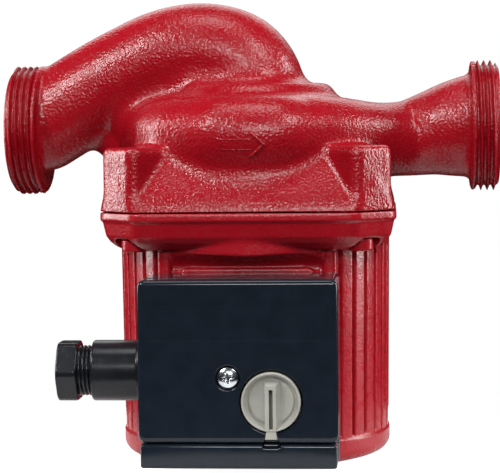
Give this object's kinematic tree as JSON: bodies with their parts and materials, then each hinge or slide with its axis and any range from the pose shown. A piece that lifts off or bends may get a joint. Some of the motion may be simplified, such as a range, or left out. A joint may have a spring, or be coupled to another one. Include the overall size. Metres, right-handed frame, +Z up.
{
  "type": "circulator pump",
  "caption": "Inline wet-rotor heating circulator: cast volute housing with threaded ports over a ribbed motor, with terminal box, cable gland and speed selector.",
  "frame": {"origin": "on the surface that the pump stands on, under the middle of its bounding box; the motor's axis is 11.45 mm behind it, at X 0 and Y +0.01145", "axes": "+X from the suction port to the discharge port, +Z up from the motor's end face to the volute, and the terminal box faces -Y"},
  "size_m": [0.18, 0.128, 0.1653],
  "materials": {
    "cast_paint": "semi-gloss red paint over a sand-cast surface",
    "motor_paint": "semi-gloss red paint over a die-cast surface",
    "black_plastic": "glossy blue-black moulded plastic",
    "gland_plastic": "satin black moulded plastic",
    "knob_plastic": "satin warm grey moulded plastic",
    "zinc": "bright zinc plating",
    "stainless": "drawn stainless steel",
    "brass": "turned brass",
    "ceramic": "ground alumina ceramic",
    "carbon": "lapped carbon",
    "lamination": "stacked electrical steel",
    "copper": "enamelled copper winding",
    "rubber": "matte EPDM rubber",
    "composite": "glass-filled composite",
    "label_foil": "blank brushed foil",
    "cream_plastic": "cream moulded plastic"
  },
  "bodies": {
    "pump_body": {"pump_housing": "cast_paint", "motor_housing": "motor_paint", "housing_screw_1": "motor_paint", "housing_screw_2": "motor_paint", "housing_screw_3": "motor_paint", "housing_screw_4": "motor_paint", "neck_ring": "stainless", "bearing_plate": "stainless", "upper_bearing": "ceramic", "lower_bearing": "ceramic", "housing_gasket": "rubber", "rotor_can": "stainless", "vent_plug": "brass", "nameplate": "label_foil", "stator_core": "lamination", "lower_winding": "copper", "upper_winding": "copper", "terminal_box_base": "black_plastic", "terminal_box_cover": "black_plastic", "cover_gasket": "rubber", "cover_screw": "zinc", "switch_body": "cream_plastic", "capacitor": "label_foil", "terminal_block": "cream_plastic", "terminal_screw_1": "zinc", "terminal_screw_2": "zinc", "terminal_screw_3": "zinc", "earth_screw": "brass", "box_screw_1": "zinc", "box_screw_2": "zinc", "gland_nut": "gland_plastic", "gland_washer": "zinc", "gland_seal": "rubber"},
    "rotor_assembly": {"impeller": "composite", "impeller_clamp_ring": "stainless", "shaft": "ceramic", "rotor_core": "stainless", "thrust_ring": "carbon"},
    "speed_selector": {"selector_knob": "knob_plastic", "switch_rotor": "composite"}
  },
  "joints": [
    {"name": "rotor_spin", "type": "hinge", "parent": "pump_body", "child": "rotor_assembly", "pos_m": [0, 0.01145, 0.054], "axis": [0, 0, 1], "continuous": true},
    {"name": "speed_select", "type": "hinge", "parent": "pump_body", "child": "speed_selector", "pos_m": [0.0102, -0.055, 0.0277], "axis": [0, -1, 0], "range_deg": [-60, 60]}
  ]
}
